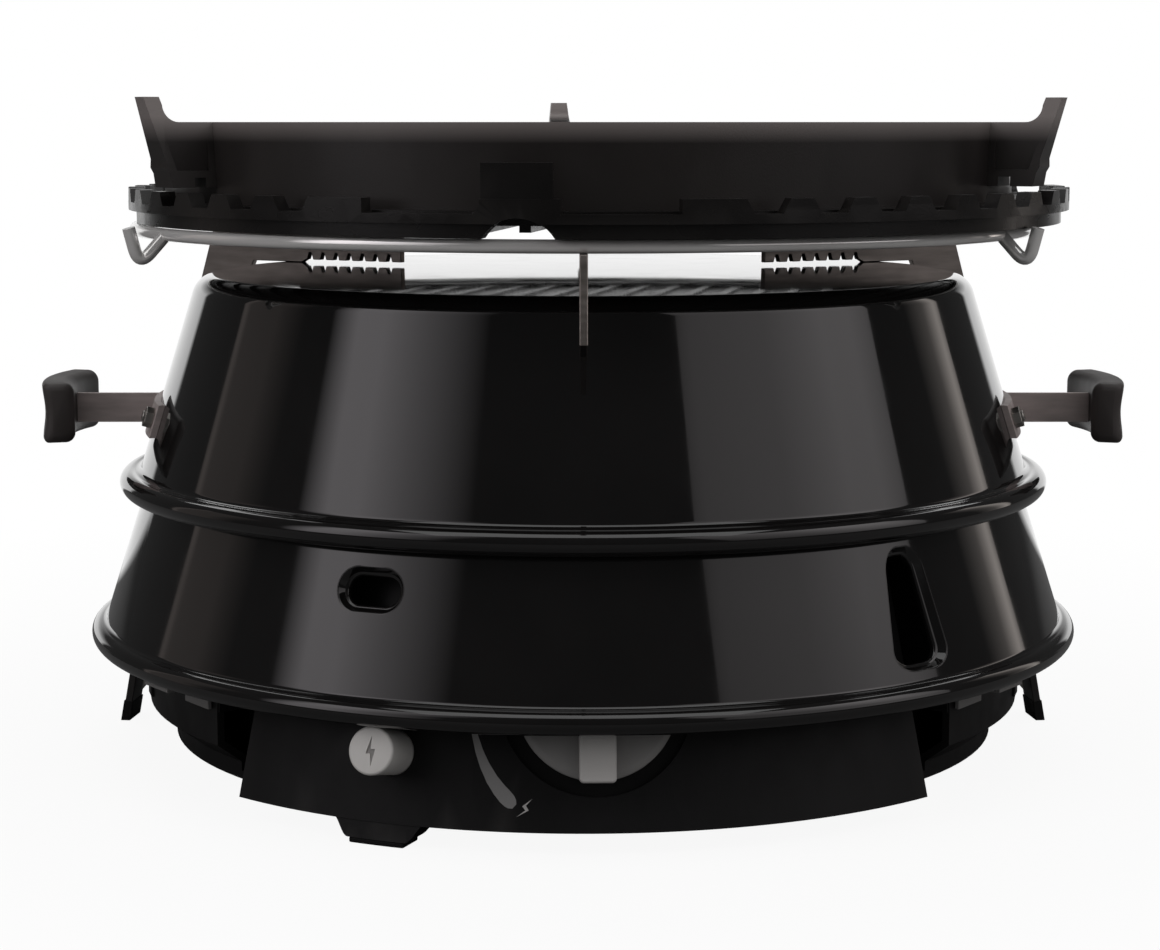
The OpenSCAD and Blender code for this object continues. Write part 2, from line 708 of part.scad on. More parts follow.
module fire_bowl() color(enamel) difference() {
    union() {
        pressed_bowl(bowl_wall_r, bowl_rim_z, bowl_lean, bowl_floor_z, bowl_corner, bowl_hole_r);
        bead(bowl_wall_r, bowl_rim_z, bowl_bead);
        drawn_opening(port_az, port_z, port_w, port_h);
        drawn_opening(slot_az, slot_z, slot_w, slot_h);
    }
    opening_cut(port_az, port_z, port_w, port_h);
    opening_cut(slot_az, slot_z, slot_w, slot_h);
}

// Bolts of one handle, square to the wok's wall
module handle_bolt_places(side) for (s = [-1, 1])
    on_wall(side * 90 + s * bolt_az, wok_r_at(strap_z), strap_z, wok_lean) children();

module wok() color(enamel) difference() {
    union() {
        pressed_bowl(wok_wall_r, wok_rim_z, wok_lean, wok_floor_z, wok_corner, 0);
        bead(wok_rim_r - wok_bead, wok_rim_z, wok_bead);
    }
    for (side = [-1, 1]) handle_bolt_places(side) xcyl(bolt_r + run_gap, -5, 5);
}

// A foot curved to the wall, with one arm standing out of its middle
module handle_strap(side) color(steel) difference() {
    wall = strap_t / cos(wok_lean);
    low_r = wok_r_at(strap_low) + run_gap;
    high_r = wok_r_at(strap_high) + run_gap;
    rotate([0, 0, side * 90]) {
        arc_sweep(foot_half) polygon([
            [low_r, strap_low], [low_r + wall, strap_low], [high_r + wall, strap_high], [high_r, strap_high]
        ]);
        at_az(0) rotate([90, 0, 0]) linear_extrude(strap_t, center = true) polygon([
            [low_r + wall / 2, strap_low + skin_in], [arm_out, strap_low + skin_in],
            [arm_out, strap_high - skin_in], [high_r + wall / 2, strap_high - skin_in]
        ]);
    }
    handle_bolt_places(side) xcyl(bolt_r + run_gap, -5, 5);
}

function corner(x, z, r, from) = [
    for (i = [0 : 4]) [x + r * cos(from + i * 22.5), z + r * sin(from + i * 22.5)]
];

// The grip's end, with X measured from the middle of its bow
module grip_outline() {
    low_z = strap_z + grip_up - grip_h / 2;
    high_z = low_z + grip_h;
    in_x = grip_bow - grip_t;
    polygon(concat(
        corner(grip_bow - grip_edge, high_z - grip_edge, grip_edge, 0),
        corner(in_x + grip_round, high_z - grip_round, grip_round, 90),
        corner(in_x + grip_round, low_z + grip_round, grip_round, 180),
        corner(grip_bow - grip_edge, low_z + grip_edge, grip_edge, 270),
        [for (i = [1 : 5]) [grip_bow - grip_waist * sin(i * 30), low_z + grip_h * (i + 0.5) / 7]]
    ));
}

module grip(side) color("#2a2624") difference() {
    translate([side * (grip_out - grip_bow), 0, 0]) rotate([0, 0, side * 90])
        arc_sweep(asin(grip_half / grip_bow)) grip_outline();
    handle_strap(side);
}

module handle_bolts() color(zinc) for (side = [-1, 1]) handle_bolt_places(side) {
    xcyl(bolt_r, -sheet - 0.1, strap_t + bolt_end);
    xcyl(bolt_r + 2, -sheet - 1.6, -sheet - 0.1);
}

module handle_nuts() color(zinc) for (side = [-1, 1]) handle_bolt_places(side) difference() {
    translate([strap_t + run_gap + 0.02, 0, 0]) rotate([0, 90, 0])
        cylinder(r = bolt_r + 2, h = nut_h, $fn = 6);
    xcyl(bolt_r, 0, 12);
}

// The trivet's ring, with three hooks that keep the griddle from sliding off
module trivet_wire() color("#c4c4c4") {
    rotate_extrude() translate([ring_r, ring_z]) circle(r = wire_r);
    for (az = hook_azs) at_az(az) {
        bent_rod([[ring_r, 0, ring_z], [hook_r, 0, ring_z - hook_dip], [hook_tip_r, 0, hook_tip_z]], wire_r);
        translate([ring_r, 0, ring_z]) sphere(r = wire_r + bend_swell);
    }
}

module fin(az) color("#7d7672") at_az(az) rotate([90, 0, 0])
linear_extrude(fin_t, center = true) difference() {
    edge_z = wok_floor_z + fin_relief;
    tip_z = wok_floor_z - fin_tip;
    tip_out = fin_out + (fin_top - tip_z) * 0.33;
    polygon([
        [fin_in, fin_top], [fin_out, fin_top], [tip_out, tip_z], [tip_out - 24, tip_z],
        [tip_out - 30, wok_floor_z],
        [fin_pad_r - 6, wok_floor_z], [fin_pad_r - 8, edge_z], [fin_in, edge_z]
    ]);
    for (i = [0 : notch_count - 1]) translate([fin_in + 6 + i * fin_pitch, edge_z])
        polygon([[-1.8, -1], [1.8, -1], [0.5, fin_notch], [-0.5, fin_notch]]);
}

module griddle() color(cast) translate([griddle_shift, 0, 0]) rotate([0, 0, griddle_turn]) difference() {
    union() {
        rotate_extrude() polygon([
            [0, plate_z], [rim_in, plate_z], [rim_in, griddle_z], [rim_out, griddle_z],
            [rim_out, plate_z + 1],
            [griddle_r, plate_z + 1], [griddle_r, tooth_top], [tooth_in, tooth_top],
            [tooth_in, plate_top], [0, plate_top]
        ]);
        for (k = [0 : 2]) rotate([0, 0, 120 * k]) arc_sweep(asin(tab_w / 2 / griddle_r))
            translate([tooth_in + 2, plate_top - 1]) square([griddle_r - tooth_in - 2 - skin_in, tab_h + 1]);
        intersection() {
            translate([0, 0, plate_z - rib_h]) cylinder(r = rim_in - 6, h = rib_h + 1);
            for (i = [-11 : 11]) translate([i * rib_pitch - 2, -griddle_r, plate_z - rib_h])
                cube([4, 2 * griddle_r, rib_h + 1]);
        }
    }
    for (k = [0 : 2]) rotate([0, 0, 120 * k]) {
        for (s = [-1, 1]) rotate([0, 0, s * (bare_half + bare_from) / 2]) arc_sweep((bare_half - bare_from) / 2)
            translate([tooth_in - 1, notch_low_z]) square([8, tooth_h + 5]);
        for (s = [-1, 1]) at_az(s * tab_foot) translate([0, 0, notch_low_z + tab_sweep + 0.1])
            xcyl(tab_sweep, tooth_in - 1, griddle_r + 1);
        at_az(0) translate([0, 0, plate_z + arch_up - arch_r]) xcyl(arch_r, rim_in - 2, griddle_r + 2);
        for (j = [0 : notch_row - 1]) at_az(60 + (j - (notch_row - 1) / 2) * tooth_pitch)
            translate([tooth_in - 1, 0, notch_low_z]) rotate([90, 0, 90]) linear_extrude(8)
                polygon([[-5, 0], [5, 0], [8.5, tooth_h + 2], [-8.5, tooth_h + 2]]);
    }
}

module lug_outline() polygon(concat([
    [pan_r - 2, lug_low_z], [lug_low_r - 1, lug_low_z], [lug_low_r, lug_low_z + 5],
    [lug_low_r + 1.2, lug_low_z + 7],
    [lug_low_r + 1.2, lug_low_z + 10], [lug_tip_r, pan_top + lug_tip_up],
    [lug_tip_r - 6, pan_top + lug_tip_up]
], [
    for (a = [0 : 10 : 90])
        [lug_tip_r - 7 - lug_sweep * (1 - cos(a)), pan_top + lug_sweep * (1 - sin(a))]
], [
    [pan_r - 2, pan_top]
]));
module lug_pocket() polygon([
    [pan_r + 2.5, lug_low_z + 6], [lug_low_r - 3, lug_low_z + 6], [lug_tip_r - 6, pan_top - 1],
    [pan_r + 2.5, pan_top - 3]
]);
module lug() intersection() {
    difference() {
        rotate([90, 0, 0]) linear_extrude(lug_w, center = true) lug_outline();
        for (s = [-1, 1]) translate([0, s * (lug_w / 2 + 1), 0]) rotate([90, 0, 0])
            linear_extrude(lug_w / 2 - 1, center = true) lug_pocket();
        translate([pan_r + 4, -lug_w, lug_low_z - 1]) cube([4.5, 2 * lug_w, 4.5]);
    }
    rotate([90, 0, 90]) linear_extrude(lug_tip_r + 10) polygon([
        [-lug_w / 2, lug_low_z - 1], [lug_w / 2, lug_low_z - 1], [lug_w / 2 - 1, lug_low_z + 8],
        [lug_w / 4 - 0.3, pan_top + lug_tip_up + 1], [-lug_w / 4 + 0.3, pan_top + lug_tip_up + 1],
        [-lug_w / 2 + 1, lug_low_z + 8]
    ]);
}

module pan() color(cast) translate([pan_shift, 0, 0]) rotate([0, 0, pan_turn]) {
    ring = 1.5;
    face = pan_top - ring;
    difference() {
        union() {
            rotate_extrude() polygon([
                [0, pan_top - pan_floor], [pan_r - pan_wall, pan_top - pan_floor],
                [pan_r - pan_wall, plate_top], [pan_r, plate_top],
                [pan_r, pan_top], [pan_r - 12, pan_top], [pan_r - 13, face], [107, face],
                [106, pan_top], [102, pan_top],
                [101, face], [57, face], [56, pan_top], [52, pan_top], [51, face], [0, face]
            ]);
            for (az = [-60, 60, 180]) at_az(az) lug();
        }
        cylinder(r = pan_r - pan_wall, h = pan_top - pan_floor);
    }
}

base_tray();
base_housing();
control_panel();
front_foot();
rim_rests();
leg_brackets();
leg_pivots();
heat_shield();
burner_body();
burner_cap();
mixing_tube();
tube_bracket();
gas_valve();
gas_jet();
gas_pipe();
gas_inlet();
inlet_nut();
igniter_body();
electrode();
electrode_pin();
ignition_lead();
panel_screws();
tray_screws();
leg(leg_azs[0]);  // leg_left
leg(leg_azs[1]);  // leg_right
leg(leg_azs[2]);  // leg_rear
leg_tip(leg_azs[0]);  // leg_tip_left
leg_tip(leg_azs[1]);  // leg_tip_right
leg_tip(leg_azs[2]);  // leg_tip_rear
knob();
valve_stem();
igniter_button();
igniter_plunger();
fire_bowl();
wok();
handle_strap(-1);  // handle_strap_left
handle_strap(1);  // handle_strap_right
grip(-1);  // grip_left
grip(1);  // grip_right
handle_bolts();
handle_nuts();
trivet_wire();
fin(0);  // fin_front
fin(-120);  // fin_left
fin(120);  // fin_right
griddle();
pan();
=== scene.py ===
import json
import math

import bmesh
import bpy
from mathutils import Matrix, Vector


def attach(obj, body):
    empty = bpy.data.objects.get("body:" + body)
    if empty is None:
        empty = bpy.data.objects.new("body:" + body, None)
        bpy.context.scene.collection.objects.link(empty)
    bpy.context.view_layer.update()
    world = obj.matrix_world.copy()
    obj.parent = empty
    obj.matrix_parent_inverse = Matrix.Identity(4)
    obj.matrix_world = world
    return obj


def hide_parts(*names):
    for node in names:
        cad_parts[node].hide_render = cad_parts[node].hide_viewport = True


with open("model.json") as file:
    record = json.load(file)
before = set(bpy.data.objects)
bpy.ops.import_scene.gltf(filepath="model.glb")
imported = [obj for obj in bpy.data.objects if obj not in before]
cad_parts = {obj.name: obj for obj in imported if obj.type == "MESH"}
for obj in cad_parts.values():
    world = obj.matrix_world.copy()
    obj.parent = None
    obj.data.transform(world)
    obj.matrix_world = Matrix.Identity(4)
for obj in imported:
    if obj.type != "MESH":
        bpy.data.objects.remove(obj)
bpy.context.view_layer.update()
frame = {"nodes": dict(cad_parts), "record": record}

MM = 0.001
SCENE = bpy.context.scene
NODES = frame["nodes"]
BODY_OF = {n: body for body, names in frame["record"]["behaviour"]["bodies"].items() for n in names}
SLOT_OF = {s["node"]: s["material_slot"] for s in frame["record"]["subparts"]}

# Sizes of the object in millimetres, the same as in the solids
SHEET = 1.3
BOWL = dict(wall_r=190.8, rim_z=48.3, lean=17.8, floor_z=185, corner=10, hole_r=62,
            bead=4.2, bead_out=0, fillet=2.2)
WOK = dict(wall_r=176.2, rim_z=106.5, lean=17.3, floor_z=186.3, corner=9, hole_r=0,
           bead=4.5, bead_out=2.3, fillet=2.6)
PORT = dict(az=-24, z=88, w=19.6, h=10, corner=5, taper=0)
SLOT = dict(az=39.2, z=77.5, w=16.6, h=38, corner=5.5, taper=0.24)
FLANGE = 3.1
FLANGE_DEPTH = 3
LIP_DEPTH = 5
WIRE = 2.35
RING_R = 174.5
RING_Z = 204.5
HOOK_AZS = (-60, 60, 180)
HOOK = ((RING_R, RING_Z), (185, 193.5), (188.6, 207.25))
HOOK_BEND = 6.5
PANEL = dict(r=181, z=8, lean=14.6)
KNOB = dict(az=1.5, z=51.5, r=27.5, bore=3, back=-4.1, bar_half=6.25, bar_foot=2.5, bar_face=10.5)
BUTTON = dict(az=-22, z=31.5, r=7.9, face_r=8.3, out=17, back=-12)
GRIP = dict(out=214, thick=12, height=23.6, half=31, bow=95, mid_z=132.8,
            edge=1.8, top_round=4.5, low_round=3.8, end_round=3.4, end_inset=2.8)

# The studio in metres and degrees: floor, camera, the point that the lamps aim at, and what gloss sees behind
FLOOR_R = 14
FLOOR_DARK = (0.14, 0.14, 0.14, 1)
FLOOR_PALE = (0.86, 0.86, 0.86, 1)
WHITE = (1, 1, 1, 1)
CAMERA = dict(place=(-0.0012, -1.008, 0.245), down=7.93, lens=78.67, sensor=36)
AIM = Vector((0, 0, 0.12))
WEDGE_LEFT = (-0.78, -0.71)
WEDGE_RIGHT = (0.62, 0.7)
ROOM_LIGHT = 0.3
ROOM_GLOSS = 0.045


def point(az, r, z):
    """A point at an azimuth from the front, a radius and a height in millimetres."""
    a = math.radians(az)
    return Vector((r * MM * math.sin(a), -r * MM * math.cos(a), z * MM))


def wall_frame(az, r, z, lean):
    """A frame on a leaning wall: X out of it, Y along it and Z up it."""
    turn = Matrix.Rotation(math.radians(az - 90), 4, "Z")
    tilt = Matrix.Rotation(math.radians(-lean), 4, "Y")
    return turn @ Matrix.Translation((r * MM, 0, z * MM)) @ tilt


def cone_r(cone, z):
    return cone["wall_r"] - (z - cone["rim_z"]) * math.tan(math.radians(cone["lean"]))


def panel_r(z):
    return PANEL["r"] - (z - PANEL["z"]) * math.tan(math.radians(PANEL["lean"]))


def panel_frame(az, z):
    return wall_frame(az, panel_r(z), z, PANEL["lean"])


def arc(x, z, r, start, end, steps):
    angles = [math.radians(start + (end - start) * i / steps) for i in range(steps + 1)]
    return [(x + r * math.cos(a), z + r * math.sin(a)) for a in angles]


# Materials

def node_of(tree, kind, **values):
    node = tree.nodes.new(kind)
    for name, value in values.items():
        setattr(node, name, value)
    return node


def noise(tree, source, scale, detail=3.0):
    node = node_of(tree, "ShaderNodeTexNoise")
    node.inputs["Scale"].default_value = scale
    node.inputs["Detail"].default_value = detail
    tree.links.new(source, node.inputs["Vector"])
    return node.outputs["Fac"]


def remap(tree, source, low, high, to_low, to_high):
    node = node_of(tree, "ShaderNodeMapRange")
    for socket, value in (("From Min", low), ("From Max", high), ("To Min", to_low), ("To Max", to_high)):
        node.inputs[socket].default_value = value
    tree.links.new(source, node.inputs["Value"])
    return node.outputs["Result"]


def product(tree, first, second):
    node = node_of(tree, "ShaderNodeMath", operation="MULTIPLY")
    tree.links.new(first, node.inputs[0])
    tree.links.new(second, node.inputs[1])
    return node.outputs["Value"]


def tint(tree, paint, colour, share):
    mix = node_of(tree, "ShaderNodeMix", data_type="RGBA")
    mix.inputs["B"].default_value = (*colour, 1)
    tree.links.new(share, mix.inputs["Factor"])
    tree.links.new(paint, mix.inputs["A"])
    return mix.outputs["Result"]


def surface(name, colour, rough, metal=0.0, tone=0.12, tone_scale=22, rough_spread=0.06, grain=0.1,
            grain_scale=900, depth=0.2, stretch=(1, 1, 1), coat=0.0, gloss=0.5, wear=0.0,
            wear_colour=(0.2, 0.19, 0.18), painted_top_highlight=None):
    """A procedural finish: drifting tone, uneven roughness, fine grain, paler worn edges, and a painted
    highlight that makes the sides paler towards their top.
    """
    mat = bpy.data.materials.new(name)
    mat.use_nodes = True
    tree = mat.node_tree
    shader = tree.nodes["Principled BSDF"]
    shader.inputs["Metallic"].default_value = metal
    shader.inputs["Specular IOR Level"].default_value = gloss
    shader.inputs["Coat Weight"].default_value = coat
    shader.inputs["Coat Roughness"].default_value = 0.03
    place = node_of(tree, "ShaderNodeTexCoord").outputs["Object"]
    mapping = node_of(tree, "ShaderNodeMapping")
    mapping.inputs["Scale"].default_value = stretch
    tree.links.new(place, mapping.inputs["Vector"])
    spot = mapping.outputs["Vector"]
    drift = noise(tree, spot, tone_scale)
    ramp = node_of(tree, "ShaderNodeValToRGB")
    ramp.color_ramp.elements[0].position = 0.3
    ramp.color_ramp.elements[1].position = 0.7
    ramp.color_ramp.elements[0].color = (*[c * (1 - tone) for c in colour], 1)
    ramp.color_ramp.elements[1].color = (*[min(1, c * (1 + tone)) for c in colour], 1)
    tree.links.new(drift, ramp.inputs["Fac"])
    paint = ramp.outputs["Color"]
    if wear:
        edge = node_of(tree, "ShaderNodeNewGeometry").outputs["Pointiness"]
        paint = tint(tree, paint, wear_colour, remap(tree, edge, 0.52, 0.62, 0, wear))
    # Painted highlight: faces that do not point up turn paler from a low to a high height, standing in for
    # light catching the top of a wall.
    if painted_top_highlight:
        low, high, highlight_colour = painted_top_highlight
        split = node_of(tree, "ShaderNodeSeparateXYZ")
        tree.links.new(place, split.inputs["Vector"])
        rise = remap(tree, split.outputs["Z"], low * MM, high * MM, 0, 1)
        facing = node_of(tree, "ShaderNodeSeparateXYZ")
        tree.links.new(node_of(tree, "ShaderNodeNewGeometry").outputs["Normal"], facing.inputs["Vector"])
        side = remap(tree, facing.outputs["Z"], 0.5, 0.9, 1, 0)
        paint = tint(tree, paint, highlight_colour, product(tree, rise, side))
    tree.links.new(paint, shader.inputs["Base Color"])
    uneven = noise(tree, spot, tone_scale * 2.7, 2.0)
    tree.links.new(remap(tree, uneven, 0.3, 0.7, rough - rough_spread, rough + rough_spread),
                   shader.inputs["Roughness"])
    bump = node_of(tree, "ShaderNodeBump")
    bump.inputs["Strength"].default_value = grain
    bump.inputs["Distance"].default_value = depth * MM
    tree.links.new(noise(tree, spot, grain_scale, 2.0), bump.inputs["Height"])
    tree.links.new(bump.outputs["Normal"], shader.inputs["Normal"])
    return mat


FINISH_VALUES = {
    "moulded_black": dict(colour=(0.009, 0.009, 0.0095), rough=0.52, grain=0.2, grain_scale=2600,
                          gloss=0.22, wear=0.1),
    "panel_black": dict(colour=(0.0095, 0.0095, 0.01), rough=0.48, grain=0.15, grain_scale=2600,
                        gloss=0.22, wear=0.08),
    "rubber_foot": dict(colour=(0.01, 0.01, 0.01), rough=0.75, grain=0.4, grain_scale=1500, gloss=0.2),
    "zinc_plate": dict(colour=(0.5, 0.485, 0.455), rough=0.36, metal=1, tone=0.1, tone_scale=120,
                       grain_scale=700),
    "pivot_steel": dict(colour=(0.45, 0.44, 0.42), rough=0.34, metal=1, tone_scale=140),
    "shield_steel": dict(colour=(0.5, 0.49, 0.47), rough=0.36, metal=1, tone_scale=40, stretch=(1, 9, 1)),
    "burner_cast": dict(colour=(0.36, 0.36, 0.37), rough=0.55, metal=1, grain=0.5, grain_scale=700, depth=0.4),
    "burner_cap_steel": dict(colour=(0.03, 0.029, 0.028), rough=0.3, grain_scale=300, wear=0.3),
    "brass_fitting": dict(colour=(0.55, 0.4, 0.18), rough=0.28, metal=1, tone_scale=90),
    "copper_pipe": dict(colour=(0.55, 0.27, 0.14), rough=0.3, metal=1, tone=0.2, tone_scale=60),
    "igniter_black": dict(colour=(0.02, 0.02, 0.022), rough=0.45, grain_scale=1800),
    "electrode_ceramic": dict(colour=(0.8, 0.77, 0.7), rough=0.2, tone=0.04, grain_scale=500, coat=0.5),
    "lead_sleeve": dict(colour=(0.25, 0.05, 0.04), rough=0.5, grain_scale=1500),
    "leg_paint": dict(colour=(0.014, 0.013, 0.0125), rough=0.42, grain_scale=1200, gloss=0.35, wear=0.2),
    "knob_grey": dict(colour=(0.26, 0.255, 0.25), rough=0.42, tone=0.04, grain=0.1, grain_scale=2400),
    "button_white": dict(colour=(0.72, 0.705, 0.68), rough=0.4, tone=0.03, grain=0.06, grain_scale=2000),
    "bowl_enamel": dict(colour=(0.0065, 0.006, 0.006), rough=0.07, tone=0.2, rough_spread=0.025, grain=0.03,
                        grain_scale=28, depth=0.5, coat=0.5),
    "wok_enamel": dict(colour=(0.0065, 0.006, 0.006), rough=0.06, tone=0.2, rough_spread=0.025, grain=0.03,
                       grain_scale=26, depth=0.5, coat=0.5),
    "strap_steel": dict(colour=(0.5, 0.43, 0.415), rough=0.45, metal=0.4, tone=0.14, tone_scale=60,
                        stretch=(1, 1, 5), grain_scale=1200),
    "grip_plastic": dict(colour=(0.05, 0.043, 0.041), rough=0.5, tone=0.1, grain=0.2, grain_scale=2400,
                         gloss=0.5, wear=0.08),
    # The chrome is only half metal: its near-white diffuse half is a painted reflection of a bright surround.
    "wire_chrome": dict(colour=(0.97, 0.95, 0.935), rough=0.11, metal=0.5, tone=0.05, rough_spread=0.03,
                        grain=0.03),
    "fin_steel": dict(colour=(0.3, 0.27, 0.25), rough=0.38, metal=1, tone=0.2, tone_scale=50,
                      stretch=(1, 1, 6)),
    # Cast iron: the paler edges are partly real wear and partly a painted highlight along the edges.
    "cast_black": dict(colour=(0.016, 0.0136, 0.013), rough=0.36, tone=0.22, rough_spread=0.05, grain=0.14,
                       grain_scale=1500, depth=0.2, gloss=0.35, wear=0.18, wear_colour=(0.05, 0.046, 0.043),
                       # Painted highlight on the pan: its sides turn paler from 238 to 247 mm up.
                       painted_top_highlight=(238, 247, (0.26, 0.232, 0.222))),
}
FINISH = {slot: surface(slot, **values) for slot, values in FINISH_VALUES.items()}
# The griddle's paler edges are partly real wear and partly a painted highlight along the edges.
GRIDDLE_BLACK = surface("griddle_black", (0.0075, 0.0066, 0.0063), 0.28, tone=0.22, rough_spread=0.05,
                        grain=0.14, grain_scale=1500, depth=0.2, gloss=0.4, wear=0.2,
                        wear_colour=(0.045, 0.042, 0.04))
REST_GREY = surface("rest_grey", (0.22, 0.215, 0.21), 0.45, tone=0.1, grain=0.1, grain_scale=1500)
KNOB_LIGHT = surface("knob_light_grey", (0.52, 0.51, 0.495), 0.42, tone=0.03, grain=0.1, grain_scale=2400)
PRINT_GREY = surface("print_light_grey", (0.26, 0.258, 0.255), 0.55, tone=0.04, grain=0.08, grain_scale=2400)
PRINT_PALE = surface("print_pale_grey", (0.5, 0.49, 0.48), 0.55, tone=0.04, grain=0.08, grain_scale=2400)
MARK_GREY = surface("mark_mid_grey", (0.3, 0.29, 0.28), 0.5, tone=0.05, grain=0.1, grain_scale=2400)


# Mesh helpers

def add_object(name, mesh, body, slot, material=None, stands_for=()):
    mesh.materials.clear()
    mesh.materials.append(material or FINISH[slot])
    obj = bpy.data.objects.new(name, mesh)
    SCENE.collection.objects.link(obj)
    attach(obj, body)
    if stands_for:
        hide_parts(*stands_for)
    return obj


def to_mesh(bm, name, sharp=40):
    mesh = bpy.data.meshes.new(name)
    bmesh.ops.recalc_face_normals(bm, faces=bm.faces)
    bm.to_mesh(mesh)
    bm.free()
    mesh.polygons.foreach_set("use_smooth", [True] * len(mesh.polygons))
    mesh.set_sharp_from_angle(angle=math.radians(sharp))
    return mesh


def bevel(obj, width, segments=2, limit=30):
    cut = obj.modifiers.new("edges", "BEVEL")
    cut.width = width * MM
    cut.segments = segments
    cut.limit_method = "ANGLE"
    cut.angle_limit = math.radians(limit)
    even = obj.modifiers.new("shading", "WEIGHTED_NORMAL")
    even.keep_sharp = True
    return obj


def dressed(node, width=0.4, segments=2, limit=30, material=None):
    """A CAD node's own shape with its edges rounded and its finish on."""
    bm = bmesh.new()
    bm.from_mesh(NODES[node].data)
    bmesh.ops.remove_doubles(bm, verts=bm.verts, dist=2e-6)
    bmesh.ops.dissolve_limit(bm, angle_limit=math.radians(0.5), verts=bm.verts, edges=bm.edges)
    mesh = to_mesh(bm, node + "_form", limit)
    obj = add_object(node + "_form", mesh, BODY_OF[node], SLOT_OF[node], material, (node,))
    return bevel(obj, width, segments, limit)


def bridge(bm, rings, closed):
    """Faces between rows of corners; each row is a closed ring."""
    count = len(rings[0])
    last = len(rings) if closed else len(rings) - 1
    for i in range(last):
        a, b = rings[i], rings[(i + 1) % len(rings)]
        for j in range(count):
            k = (j + 1) % count
            bm.faces.new((a[j], a[k], b[k], b[j]))


def lathe(outline, steps, place=None):
    """Turns a closed (radius, height) outline in millimetres about Z, or about X of a given frame."""
    bm = bmesh.new()
    rings = []
    for i in range(steps):
        a = 2 * math.pi * i / steps
        if place is None:
            row = [Vector((r * MM * math.sin(a), -r * MM * math.cos(a), z * MM)) for r, z in outline]
        else:
            row = [place @ Vector((z * MM, r * MM * math.cos(a), r * MM * math.sin(a))) for r, z in outline]
        rings.append([bm.verts.new(p) for p in row])
    bridge(bm, rings, True)
    bmesh.ops.remove_doubles(bm, verts=bm.verts, dist=1e-6)
    return bm


def tube(points, radius, sides=16):
    """A round wire along an open path of points in metres, with flat ends."""
    bm = bmesh.new()
    rings = []
    for i, here in enumerate(points):
        along = (points[min(i + 1, len(points) - 1)] - points[max(i - 1, 0)]).normalized()
        side = along.cross(points[0].cross(Vector((0, 0, 1)))).normalized()
        up = side.cross(along)
        angles = [2 * math.pi * k / sides for k in range(sides)]
        spokes = [math.cos(a) * side + math.sin(a) * up for a in angles]
        rings.append([bm.verts.new(here + radius * MM * spoke) for spoke in spokes])
    bridge(bm, rings, False)
    bm.faces.new(rings[0])
    bm.faces.new(rings[-1])
    return bm


def soft_bend(start, corner, end, reach, steps=10):
    """A path from start to end with a smooth curve in place of its corner."""
    a = corner + (start - corner).normalized() * reach * MM
    b = corner + (end - corner).normalized() * reach * MM
    curve = []
    for k in range(steps + 1):
        t = k / steps
        curve.append(a * (1 - t) ** 2 + corner * 2 * t * (1 - t) + b * t ** 2)
    return [start] + curve + [end]


def round_box(w, h, corner, steps=10):
    """Outline of a box with round corners, w across and h up, as (y, z)."""
    outline = []
    for i, (y, z) in enumerate(((1, 1), (-1, 1), (-1, -1), (1, -1))):
        outline += arc(y * (w / 2 - corner), z * (h / 2 - corner), corner, 90 * i, 90 * i + 90, steps)
    return outline


def prism(outline, x0, x1, place, bend_r=None):
    """A solid between two copies of a (y, z) outline, following a wall of radius bend_r where one is given."""
    bm = bmesh.new()
    rows = []
    for x in (x0, x1):
        drop = [(y * y / (2 * bend_r) if bend_r else 0) for y, z in outline]
        row = [place @ Vector(((x - d) * MM, y * MM, z * MM)) for (y, z), d in zip(outline, drop)]
        rows.append([bm.verts.new(p) for p in row])
    bridge(bm, rows, False)
    bm.faces.new(rows[0])
    bm.faces.new(rows[1])
    return bm


# Pressed and enamelled bowls

def pressed_outline(wall_r, rim_z, lean, floor_z, corner, hole_r, bead, bead_out, fillet):
    """The sheet's section: floor, corner, leaning wall, swept foot, rolled rim and the same again inside."""
    sin_l, cos_l = math.sin(math.radians(lean)), math.cos(math.radians(lean))
    mid_z = floor_z - corner
    mid_r = wall_r - ((mid_z - rim_z) * sin_l + corner) / cos_l
    bead_r = wall_r + bead_out
    half = bead_out * sin_l
    gap = fillet ** 2 + bead_out ** 2 - 2 * bead_out * fillet * cos_l - (bead + fillet) ** 2
    s = -half + math.sqrt(half ** 2 - gap)
    foot_r = wall_r + fillet * cos_l - s * sin_l
    foot_z = rim_z + fillet * sin_l + s * cos_l
    meet = math.degrees(math.atan2(rim_z - foot_z, bead_r - foot_r)) % 360
    back = -bead_out - SHEET / cos_l
    turn = back * sin_l + math.sqrt((back * sin_l) ** 2 - back ** 2 + bead ** 2)
    inner = math.degrees(math.atan2(turn * cos_l, back - turn * sin_l)) % 360
    return ([(hole_r, floor_z)] + arc(mid_r, mid_z, corner, 90, lean, 14)
            + arc(foot_r, foot_z, fillet, 180 + lean, meet, 8)
            + arc(bead_r, rim_z, bead, meet - 180, inner - 360, 30)[1:]
            + arc(mid_r, mid_z, corner - SHEET, lean, 90, 10) + [(hole_r, floor_z - SHEET)])


def cutter_of(outline, x0, x1, place):
    cutter = bpy.data.objects.new("cutter", to_mesh(prism(outline, x0, x1, place), "cutter"))
    SCENE.collection.objects.link(cutter)
    return cutter


def carve(obj, cutters):
    """Cuts the cutters out of an object and removes them."""
    for cutter in cutters:
        cut = obj.modifiers.new("cut", "BOOLEAN")
        cut.operation = "DIFFERENCE"
        cut.object = cutter
        cut.solver = "EXACT"
    mesh = bpy.data.meshes.new_from_object(obj.evaluated_get(bpy.context.evaluated_depsgraph_get()))
    obj.modifiers.clear()
    obj.data = mesh
    for cutter in cutters:
        bpy.data.objects.remove(cutter)


